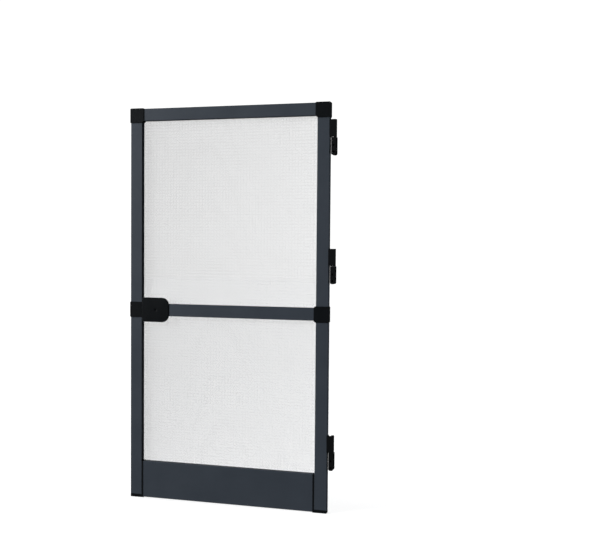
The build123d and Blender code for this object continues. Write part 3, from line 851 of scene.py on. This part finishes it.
class SCREENDOOR_OT_connectors(bpy.types.Operator):
    """Mould the corner and tee connectors, the feet and the kick plate's brackets"""

    bl_idname = "screendoor.connectors"
    bl_label = "Connectors"

    def execute(self, context):
        sizes = context.scene.screen_door_sizes
        for kind in ("corner_connector", "tee_connector", "foot", "kick_bracket"):
            corner = sizes.collar_corner if kind.endswith("connector") else 0.0
            for side in SIDES:
                node = f"{kind}_{side}"
                fit(softened(node, sizes.soft_edge, corner), "black_plastic", node)
        return {"FINISHED"}


# ---- Grip ----


def rounded_outline(low, high, rounds, inset):
    """Points (x, z) round a rectangle drawn in by inset. rounds are its corners' radii, from low left."""
    corners = ((low.x, low.z), (high.x, low.z), (high.x, high.z), (low.x, high.z))
    ways = ((1, 1), (-1, 1), (-1, -1), (1, -1))
    arcs = []
    for turn, ((x, z), (way_x, way_z), radius) in enumerate(zip(corners, ways, rounds)):
        arc = []
        for step in range(ARC_STEPS + 1):
            angle = math.pi * (1 + 0.5 * turn + 0.5 * step / ARC_STEPS)
            reach = radius - inset
            arc.append(
                (x + way_x * radius + reach * math.cos(angle), z + way_z * radius + reach * math.sin(angle))
            )
        arcs.append(arc)
    points = []
    for arc, following in zip(arcs, arcs[1:] + arcs[:1]):
        points += arc
        for step in range(1, SIDE_STEPS):
            share = step / SIDE_STEPS
            points.append(tuple(a + (b - a) * share for a, b in zip(arc[-1], following[0])))
    return points


def grip_shell(sizes):
    """The grip plate as a closed shell: a crowned front, a rounded edge, and a dish round its screw."""
    low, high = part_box("grip_plate")
    screw_low, screw_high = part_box("grip_screw")
    rail_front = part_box("rail_middle")[0].y
    centre_x, centre_z = (screw_low.x + screw_high.x) / 2, (screw_low.z + screw_high.z) / 2
    outline = rounded_outline(low, high, GRIP_ROUNDS, 0)

    def around(radius, y):
        """A loop round the screw, with each point towards its own point of the outline."""
        angles = [math.atan2(z - centre_z, x - centre_x) for x, z in outline]
        return [(centre_x + radius * math.cos(a), y, centre_z + radius * math.sin(a)) for a in angles]

    def along(inset, y):
        """A loop along the outline, drawn in by inset."""
        return [(x, y, z) for x, z in rounded_outline(low, high, GRIP_ROUNDS, inset)]

    ceiling = rail_front - 2 * GRIP_RAIL_CLEARANCE
    shoulder = low.y + sizes.grip_crown
    loops = [
        around(GRIP_HOLE_RADIUS, ceiling),
        along(GRIP_WALL, ceiling),
        along(GRIP_WALL, high.y),
        along(GRIP_RIM_CHAMFER, high.y),
        along(0, high.y - GRIP_RIM_CHAMFER),
    ]
    for step in range(ARC_STEPS // 2 + 1):
        angle = 0.5 * math.pi * step / (ARC_STEPS // 2)
        reach = sizes.grip_edge
        loops.append(along(reach * (1 - math.cos(angle)), shoulder + reach * (1 - math.sin(angle))))
    edge, dish = loops[-1], around(GRIP_DISH_RADIUS, low.y)
    for step in range(1, CROWN_STEPS + 1):
        share = step / CROWN_STEPS
        y = shoulder - sizes.grip_crown * math.sin(0.5 * math.pi * share)
        inward = [Vector(a).lerp(Vector(b), share) for a, b in zip(edge, dish)]
        loops.append([(point.x, y, point.z) for point in inward])
    dish_width = GRIP_DISH_RADIUS - GRIP_RECESS_RADIUS
    for step in range(1, DISH_STEPS + 1):
        share = step / DISH_STEPS
        fall = GRIP_DISH_DEPTH * 0.5 * (1 - math.cos(math.pi * share))
        loops.append(around(GRIP_DISH_RADIUS - dish_width * share, low.y + fall))
    loops.append(around(GRIP_RECESS_RADIUS, low.y + GRIP_RECESS_DEPTH))
    loops.append(around(GRIP_HOLE_RADIUS, low.y + GRIP_RECESS_DEPTH))
    return mesh_object("grip_plate_shell", loft(loops, True))


def cut_box(piece, low, high):
    """Cuts a box out of a piece."""
    bm = bmesh.new()
    bmesh.ops.create_cube(bm, size=1.0)
    for vertex in bm.verts:
        vertex.co = (low + high) / 2 + Vector(c * (b - a) for c, a, b in zip(vertex.co, low, high))
    cutter = mesh_object("cutter", bm)
    cut = piece.modifiers.new("Cut", "BOOLEAN")
    cut.operation = "DIFFERENCE"
    cut.solver = "EXACT"
    cut.object = cutter
    settled(piece)
    bpy.data.objects.remove(cutter)


class SCREENDOOR_OT_grip(bpy.types.Operator):
    """Mould the grip plate and the pull behind it, with the screw and nut that hold them"""

    bl_idname = "screendoor.grip"
    bl_label = "Grip"

    def execute(self, context):
        sizes = context.scene.screen_door_sizes
        plate = grip_shell(sizes)
        clear = Vector((GRIP_RAIL_CLEARANCE,) * 3)
        # The rim stops at the rail and at the tee connector's collar
        for node in ("rail_middle", "tee_connector_latch"):
            low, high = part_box(node)
            low.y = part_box("rail_middle")[0].y
            if node == "tee_connector_latch":
                high.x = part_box("stile_latch")[1].x + TEE_COLLAR
            cut_box(plate, low - clear, high + clear)
        fit(shade(plate), "black_plastic", "grip_plate")
        pull = softened("grip_pull", 2 * sizes.soft_edge)
        fit(pull, "black_plastic", "grip_pull")
        low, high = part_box("grip_screw")
        middle = (low + high) / 2
        head_top = Vector((middle.x, low.y + GRIP_RECESS_DEPTH - GRIP_HEAD["height"], middle.z))
        facing = [(head_top, Vector((0, -1, 0)))]
        screw = placed_screws("grip_screw_turned", GRIP_HEAD, facing, "black_steel")
        fit(screw, "black_steel", "grip_screw")
        carry("zinc_steel", "grip_nut")
        return {"FINISHED"}


# ---- Screws ----


def cross_screw(head, height, shank, length):
    """A pan-head screw with a cross recess, its head's top at the origin and its axis along Z."""
    corner = math.atan2(CROSS_HALF_WIDTH, CROSS_ARM)
    angles = [
        math.pi / 2 * quarter + turn
        for quarter in range(4)
        for turn in (-math.pi / 4, -math.pi / 8, -corner, 0, corner, math.pi / 8)
    ]

    def ring(radius, z):
        return [(radius * math.cos(a), radius * math.sin(a), z) for a in angles]

    def cross(scale, z):
        points = []
        for angle in angles:
            turn = (angle + math.pi / 4) % (math.pi / 2) - math.pi / 4
            if abs(turn) <= corner + ANGLE_SLACK:
                radius = CROSS_ARM / math.cos(turn)
            else:
                radius = CROSS_HALF_WIDTH / abs(math.sin(turn))
            radius *= head * scale
            points.append((radius * math.cos(angle), radius * math.sin(angle), z))
        return points

    bottom = -height - length
    loops = [
        ring(shank * POINT_RADIUS, bottom),
        ring(shank, bottom + POINT_LENGTH * shank),
        ring(shank, -height),
        ring(head, -height),
        *(ring(head * share, -height * down) for share, down in HEAD_CURVE),
        cross(1.0, 0),
        cross(CROSS_TAPER, -CROSS_DEPTH),
    ]
    return loft(loops, False)


def screws_tree():
    """One screw on each point of the mesh that it is given, turned to the point's own way."""
    tree, given = geometry_tree("Screws", ("Screw", "Object"), ("Material", "Material"))
    screw = add_node(tree, "GeometryNodeObjectInfo", None, {"Object": given["Screw"]})
    way = add_node(
        tree, "GeometryNodeInputNamedAttribute", {"data_type": "FLOAT_VECTOR"}, {"Name": "way"}
    )
    turn = add_node(
        tree, "FunctionNodeAlignRotationToVector", {"axis": "Z"}, {"Vector": way.outputs["Attribute"]}
    )
    placed = add_node(
        tree,
        "GeometryNodeInstanceOnPoints",
        None,
        {
            "Points": given["Geometry"],
            "Instance": screw.outputs["Geometry"],
            "Rotation": turn.outputs[0],
        },
    )
    return close_tree(tree, placed.outputs[0], given["Material"])


def placed_screws(name, shape, places, slot_name):
    """A piece with a screw at each place, which is (top of its head, way that its head faces)."""
    pattern = mesh_object("screw_pattern", cross_screw(**shape))
    mesh = bpy.data.meshes.new(name)
    mesh.from_pydata([top for top, _ in places], [], [])
    ways = mesh.attributes.new("way", "FLOAT_VECTOR", "POINT")
    for entry, (_, way) in zip(ways.data, places):
        entry.vector = way
    values = {"Screw": pattern, "Material": finish(slot_name)}
    piece = grown(new_object(name, mesh), screws_tree(), values)
    bpy.data.objects.remove(pattern)
    for attribute in [a for a in piece.data.attributes if a.name == "way"]:
        piece.data.attributes.remove(attribute)
    return shade(piece)


class SCREENDOOR_OT_screws(bpy.types.Operator):
    """Drive the screws of the connectors, the feet, the kick plate's brackets and the hinges"""

    bl_idname = "screendoor.screws"
    bl_label = "Screws"

    def execute(self, context):
        for node, shape, axis in (
            ("frame_screws", PAN_HEAD, 1),
            ("kick_bracket_screws", SIDE_HEAD, 0),
            ("hinge_leaf_screws", SIDE_HEAD, 0),
        ):
            places = []
            for low, high in solids_of(node):
                # Only the kick plate's screws on the hinge side face the other way
                back_facing = node == "kick_bracket_screws" and low.x > 0
                top, way = (low + high) / 2, Vector()
                top[axis] = low[axis] if back_facing else high[axis]
                way[axis] = -1 if back_facing else 1
                places.append((top, way))
            fit(placed_screws(f"{node}_turned", shape, places, "zinc_steel"), "zinc_steel", node)
        return {"FINISHED"}


# ---- Hinges ----


def coil_tree():
    """A coil of round wire, standing up from a place."""
    tree, given = geometry_tree(
        "Coil spring",
        ("Foot", "Vector"),
        ("Turns", "Float"),
        ("Coil Radius", "Float"),
        ("Height", "Float"),
        ("Wire Radius", "Float"),
        ("Material", "Material"),
    )
    spiral = add_node(
        tree,
        "GeometryNodeCurveSpiral",
        None,
        {
            "Resolution": SPRING_TURN_STEPS,
            "Rotations": given["Turns"],
            "Start Radius": given["Coil Radius"],
            "End Radius": given["Coil Radius"],
            "Height": given["Height"],
        },
    )
    moved = add_node(
        tree,
        "GeometryNodeTransform",
        None,
        {"Geometry": spiral.outputs[0], "Translation": given["Foot"]},
    )
    section = add_node(
        tree,
        "GeometryNodeCurvePrimitiveCircle",
        None,
        {"Resolution": ROUND_SIDES, "Radius": given["Wire Radius"]},
    )
    wire = add_node(
        tree,
        "GeometryNodeCurveToMesh",
        None,
        {"Curve": moved.outputs[0], "Profile Curve": section.outputs[0], "Fill Caps": True},
    )
    smooth = add_node(tree, "GeometryNodeSetShadeSmooth", None, {"Geometry": wire.outputs[0]})
    return close_tree(tree, smooth.outputs[0], given["Material"])


class SCREENDOOR_OT_hinges(bpy.types.Operator):
    """Mould the hinge halves, and wind the springs round their pins"""

    bl_idname = "screendoor.hinges"
    bl_label = "Hinges"

    def execute(self, context):
        width = context.scene.screen_door_sizes.soft_edge
        tree = coil_tree()
        for name in HINGES:
            for half in ("hinge_leaf", "hinge_bracket"):
                node = f"{half}_{name}"
                fit(softened(node, width), "hinge_plastic", node)
            node = f"hinge_spring_{name}"
            low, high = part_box(node)
            height = high.z - low.z - 2 * SPRING_WIRE_RADIUS
            values = {
                "Foot": Vector(((low.x + high.x) / 2, (low.y + high.y) / 2, low.z + SPRING_WIRE_RADIUS)),
                "Turns": height / SPRING_PITCH,
                "Coil Radius": (high.x - low.x) / 2 - SPRING_WIRE_RADIUS,
                "Height": height,
                "Wire Radius": SPRING_WIRE_RADIUS,
                "Material": finish("zinc_steel"),
            }
            coil = grown(new_object(f"{node}_coil", bpy.data.meshes.new(node)), tree, values)
            fit(coil, "zinc_steel", node)
            carry("zinc_steel", f"hinge_pin_{name}")
            carry("hinge_plastic", f"hinge_cap_{name}")
            carry("nylon", f"hinge_washer_{name}")
        return {"FINISHED"}


# ---- Catches ----


class SCREENDOOR_OT_catches(bpy.types.Operator):
    """Fit the magnetic catches in the latch stile and their keeper plates"""

    bl_idname = "screendoor.catches"
    bl_label = "Catches"

    def execute(self, context):
        width = context.scene.screen_door_sizes.soft_edge / 2
        fit(softened("catch_housings", width), "black_plastic", "catch_housings")
        carry("ferrite", "catch_magnets")
        carry("zinc_steel", "keeper_plates")
        return {"FINISHED"}


# ---- Studio ----


def add_light(kind, name, place, target, strength, size):
    """A light aimed at a target. size is a sun's angle, or an area light's width and height."""
    data = bpy.data.lights.new(name, kind)
    data.energy = strength
    if kind == "SUN":
        data.angle = size
    else:
        data.shape = "RECTANGLE"
        data.size, data.size_y = size
    light = new_object(name, data)
    light.location = place
    aim = Vector(target) - Vector(place)
    light.rotation_euler = aim.to_track_quat("-Z", "Y").to_euler()
    # Only the suns shine back off the satin surfaces, which keeps the black pieces black
    light.visible_glossy = kind == "SUN"


class SCREENDOOR_OT_studio(bpy.types.Operator):
    """Set up the floor, the lights, the white surroundings and the camera"""

    bl_idname = "screendoor.studio"
    bl_label = "Studio"

    def execute(self, context):
        scene = context.scene
        bm = bmesh.new()
        bmesh.ops.create_grid(bm, x_segments=1, y_segments=1, size=FLOOR_REACH)
        floor = mesh_object("studio_floor", bm)
        floor.data.materials.append(studio_paint(tuple(scene.screen_door_colours.floor)))
        # The floor is seen, but throws no light back up at the door
        floor.visible_diffuse = False
        floor.visible_glossy = False

        for light in LIGHTS:
            add_light(*light)

        # White where the camera looks past the door, and a weaker even fill for everything that it lights
        world = bpy.data.worlds.new("studio_white")
        world.use_nodes = True
        tree = world.node_tree
        tree.nodes.clear()
        seen = add_node(tree, "ShaderNodeLightPath").outputs["Is Camera Ray"]
        level = add_node(tree, "ShaderNodeMapRange", None, {0: seen, 3: FILL, 4: BACKDROP_WHITE})
        white = add_node(
            tree, "ShaderNodeBackground", None, {"Color": (1, 1, 1, 1), "Strength": level.outputs[0]}
        )
        add_node(tree, "ShaderNodeOutputWorld", None, {0: white.outputs[0]})
        scene.world = world
        scene.view_settings.view_transform = "Standard"

        data = bpy.data.cameras.new("camera")
        data.lens = CAMERA_LENS
        data.sensor_width = CAMERA_SENSOR
        camera = new_object("camera", data)
        camera.matrix_world = (
            Matrix.Translation(CAMERA_PLACE)
            @ Matrix.Rotation(-CAMERA_YAW, 4, "Z")
            @ Matrix.Rotation(math.pi / 2 - CAMERA_PITCH, 4, "X")
            @ Matrix.Rotation(CAMERA_ROLL, 4, "Z")
        )
        scene.camera = camera
        return {"FINISHED"}


# ---- Add-on ----

OPERATORS = (
    SCREENDOOR_OT_studio,
    SCREENDOOR_OT_profiles,
    SCREENDOOR_OT_connectors,
    SCREENDOOR_OT_grip,
    SCREENDOOR_OT_mesh_fields,
    SCREENDOOR_OT_splines,
    SCREENDOOR_OT_screws,
    SCREENDOOR_OT_hinges,
    SCREENDOOR_OT_catches,
)


class SCREENDOOR_PT_panel(bpy.types.Panel):
    """The door's pieces, sizes and colours"""

    bl_idname = "SCREENDOOR_PT_panel"
    bl_label = "Screen Door"
    bl_space_type = "VIEW_3D"
    bl_region_type = "UI"
    bl_category = "Screen Door"

    def draw(self, context):
        for group in (context.scene.screen_door_sizes, context.scene.screen_door_colours):
            column = self.layout.column(align=True)
            for name in group.bl_rna.properties.keys():
                if name not in ("rna_type", "name"):
                    column.prop(group, name)
        column = self.layout.column(align=True)
        for operator in OPERATORS:
            column.operator(operator.bl_idname)


CLASSES = (ScreenDoorSizes, ScreenDoorColours, *OPERATORS, SCREENDOOR_PT_panel)


def register():
    for one in CLASSES:
        bpy.utils.register_class(one)
    bpy.types.Scene.screen_door_sizes = PointerProperty(type=ScreenDoorSizes)
    bpy.types.Scene.screen_door_colours = PointerProperty(type=ScreenDoorColours)


def unregister():
    del bpy.types.Scene.screen_door_colours
    del bpy.types.Scene.screen_door_sizes
    for one in reversed(CLASSES):
        bpy.utils.unregister_class(one)


def main():
    """Makes every piece in order."""
    register()
    for operator in OPERATORS:
        getattr(bpy.ops.screendoor, operator.bl_idname.split(".")[1])()


if __name__ == "__main__":
    main()
